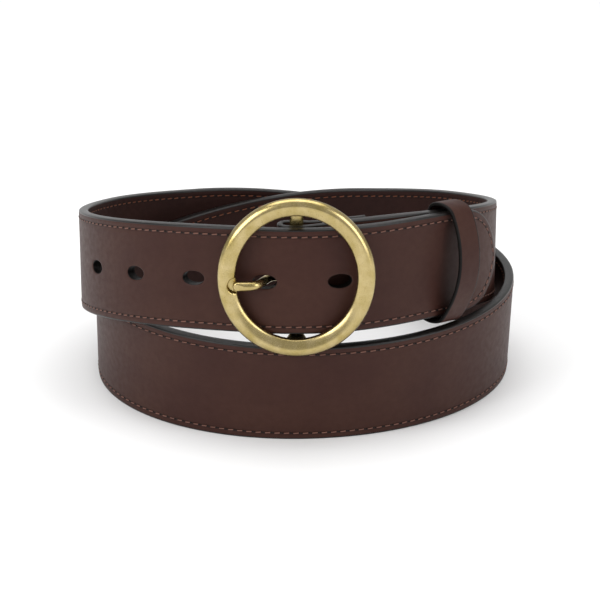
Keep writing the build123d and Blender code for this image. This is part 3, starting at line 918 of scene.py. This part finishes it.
def keeper_path(offset, count=240):
    """Loop (out, up) at an offset from the keeper's inner face, from one butted end to the other,
    and its normals."""
    bow = np.linspace(-1, 1, 25)
    front = [(keeper_depth + keeper_bow * (1 - share**2), -share * keeper_rise) for share in bow]
    crest = keeper_rise + 0.9
    corners = [(0, 0.1), (0, keeper_rise), (keeper_depth / 2, crest), *front, (keeper_depth / 2, -crest),
               (0, -keeper_rise), (0, -0.1)]
    path = smooth_path(corners, count, 26)
    heading = np.gradient(path, axis=0)
    heading /= np.hypot(*heading.T)[:, None]
    normal = np.stack([-heading[:, 1], heading[:, 0]], -1)
    return path + normal * offset, normal


def keeper_surface():
    """Strip section, a rounded rectangle, carried round the loop. Paint covers its rounded edges."""
    middle, normal = keeper_path(keeper_thickness / 2)
    turn = np.linspace(0, 2 * math.pi, 49)[:-1]
    wide = np.sign(np.cos(turn)) * np.abs(np.cos(turn)) ** 0.22
    deep = np.sign(np.sin(turn)) * np.abs(np.sin(turn)) ** 0.45
    flat = middle[:, None, :] + normal[:, None, :] * (deep * keeper_thickness / 2)[None, :, None]
    wide = np.broadcast_to(wide * keeper_width / 2, flat.shape[:2])
    rings = keeper_place(flat[..., 0], flat[..., 1], wide)
    points, faces = capped_tube(rings)
    run = np.concatenate([[0], np.cumsum(np.hypot(*np.diff(middle, axis=0).T))])
    run = np.concatenate([[run[0]], run, [run[-1]]])
    wide = np.concatenate([wide[:1], wide, wide[-1:]])
    side_run = np.broadcast_to(run[:, None], wide.shape)
    height = np.broadcast_to(deep[None, :], wide.shape)
    coordinates = np.stack([side_run, wide, height * 0.7], -1).reshape(-1, 3)
    paint = (np.abs(wide) > keeper_width / 2 - 0.7).astype(float).ravel()
    far = np.full((paint.size, 3), 99.0)
    return points, faces, {"flat": coordinates, "seam": far, "paint": paint}


make_piece("keeper_loop", keeper_surface(), face_leather, "keeper", ["keeper"], 60)

# %% Staples behind the keeper
staple_radius = 0.3
staple_reach = 3.5
staple_leg = 0.9


def staple(along):
    """Round wire bent to a U: a crown on the keeper's back face and two legs into the leather."""
    back = -keeper_thickness - staple_radius
    leg_end = back + staple_leg
    legs = [(leg_end, staple_reach), (back, staple_reach), (back, -staple_reach), (leg_end, -staple_reach)]
    path = smooth_path([(*leg, 0.0) for leg in legs], 70, 6)
    rings = carried(path, (0, 0, 1), staple_radius, staple_radius, 2.0, 12)
    points, faces = capped_tube(rings)
    return keeper_place(points[:, 0], points[:, 1], points[:, 2] + along), faces, {}


staples = joined([staple(side * keeper_width / 4) for side in (-1, 1)])
make_piece("keeper_staple_wires", staples, steel, "keeper", ["keeper_staples"], 60)

# %% [markdown]
# ## The two rivets
# Behind the bar the folded leather is held by two brass rivets. A rivet is turned: a domed head, a
# shank through the leather and a domed cap on the other side, so each is one profile spun about its
# own axis.

# %% Rivets
rivet_angle = 15.5
rivet_rows = (-11.0, 11.0)
cap_radius = 4.0
shank_radius = 1.48
cap_level = half_thickness + 0.02
head_level = -(half_thickness + fold_glue + 2.0) - 0.2


def spun(profile, place, count=40):
    """Profile of (radius, out) points turned about the line through the strap at a flat place."""
    profile = np.array(profile)
    along, up = place
    turn = np.linspace(0, 2 * math.pi, count + 1)[:-1]
    centre = on_strap(np.array(along), np.array(up), np.array(0.0))
    out = on_strap(np.array(along), np.array(up), np.array(1.0)) - centre
    upward = on_strap(np.array(along), np.array(up + 1.0), np.array(0.0)) - centre
    beside = np.cross(upward, out)
    ring = np.cos(turn)[None, :, None] * beside + np.sin(turn)[None, :, None] * upward
    points = centre + profile[:, 0, None, None] * ring + profile[:, 1, None, None] * out
    return (*capped_tube(points), {})


def dome(level, height):
    """Profile of a flat-backed dome: a quarter superellipse from its rim to its top."""
    turn = np.linspace(0, math.pi / 2, 13)
    radius = cap_radius * np.cos(turn) ** 0.6
    rise = level + height * (0.25 + 0.75 * np.sin(turn) ** 1.2)
    return [(cap_radius - 0.3, level)] + list(zip(radius, rise))[:-1]


rivet_along = float(length_at(rivet_angle))
posts = []
caps = []
for row in rivet_rows:
    shank = [(shank_radius, head_level - 0.1), (shank_radius, cap_level - 0.05)]
    posts += [spun(dome(head_level, -1.2), (rivet_along, row)), spun(shank, (rivet_along, row))]
    caps.append(spun(dome(cap_level, 1.2), (rivet_along, row)))
make_piece("rivet_heads", joined(posts), brass, "strap", ["rivet_posts"], 50)
make_piece("rivet_domes", joined(caps), brass, "strap", ["rivet_caps"], 50)

# %% [markdown]
# ## Floor, light and camera
# A product table is a pale sheet that runs back and curves up, lit by large soft boxes so that
# leather shows a broad sheen and brass has something bright and something dim to reflect. The
# camera is long and stands a little above the belt.

# %% Floor and backdrop
def sweep_floor():
    """Pale sheet: flat for 1.2 m behind the belt, then a quarter round up into a wall."""
    turn = np.linspace(0, math.pi / 2, 16)
    y = np.concatenate([[-3000, -500, 500], 1200 + 600 * np.sin(turn), [1800]])
    z = np.concatenate([[0, 0, 0], 600 - 600 * np.cos(turn), [3000]])
    x = np.linspace(-3000, 3000, 5)
    points = np.stack([np.broadcast_to(x, (len(y), 5)), np.broadcast_to(y[:, None], (len(y), 5)),
                       np.broadcast_to(z[:, None], (len(y), 5))], -1)
    mesh = bpy.data.meshes.new("studio_floor")
    mesh.from_pydata((points.reshape(-1, 3) * MM).tolist(), [], grid_faces(len(y), 5).tolist())
    mesh.polygons.foreach_set("use_smooth", np.ones(len(mesh.polygons), bool))
    material, tree, shader = new_material("white paper sweep", Roughness=0.9, Specular_IOR_Level=0.1)
    place = add_node(tree, "ShaderNodeTexCoord").outputs["Object"]
    tone = noise(tree, place, 3.0)
    tree.links.new(blended(tree, tone, linear("#f4f4f4"), linear("#f7f7f7")), shader.inputs["Base Color"])
    mesh.materials.append(material)
    floor = bpy.data.objects.new("studio_floor", mesh)
    bpy.context.scene.collection.objects.link(floor)
    return floor


sweep_floor()

# %% Lights
def soft_box(name, place, target, size, watts):
    """Rectangular area light at a place in millimetres, turned to face its target."""
    data = bpy.data.lights.new(name, "AREA")
    data.shape = "RECTANGLE"
    data.size, data.size_y = (edge * MM for edge in size)
    data.energy = watts
    light = bpy.data.objects.new(name, data)
    light.location = Vector(place) * MM
    light.rotation_euler = (Vector(target) - Vector(place)).to_track_quat("-Z", "Y").to_euler()
    bpy.context.scene.collection.objects.link(light)
    return light


belt_middle = (0, 0, 40)
soft_box("left_soft_box", (-900, -700, 650), belt_middle, (700, 900), 9.0)
soft_box("right_soft_box", (950, -600, 500), belt_middle, (500, 900), 5.0)
soft_box("top_soft_box", (0, 100, 1200), belt_middle, (1200, 900), 9.0)
world = bpy.data.worlds.new("studio")
world.use_nodes = True
world.node_tree.nodes["Background"].inputs["Color"].default_value = linear("#ffffff")
world.node_tree.nodes["Background"].inputs["Strength"].default_value = 0.55
bpy.context.scene.world = world
bpy.context.scene.view_settings.view_transform = "Standard"

# %% Camera
camera_distance = 925.0
camera_elevation = math.radians(19.7)
camera_tilt = math.radians(20.42)
look_at = np.array([1.2, 0.0, 38.0])
camera_way = np.array([0, -math.cos(camera_elevation), math.sin(camera_elevation)])
camera_place = look_at + camera_distance * camera_way
camera_data = bpy.data.cameras.new("camera")
camera_data.sensor_width = 36.0
camera_data.lens = 147.96
camera_data.clip_start = 0.05
camera_data.clip_end = 20.0
camera = bpy.data.objects.new("camera", camera_data)
camera.location = Vector(camera_place) * MM
camera.rotation_euler = (math.pi / 2 - camera_tilt, 0, 0)
bpy.context.scene.collection.objects.link(camera)
bpy.context.scene.camera = camera

# %% The end
bpy.context.view_layer.update()
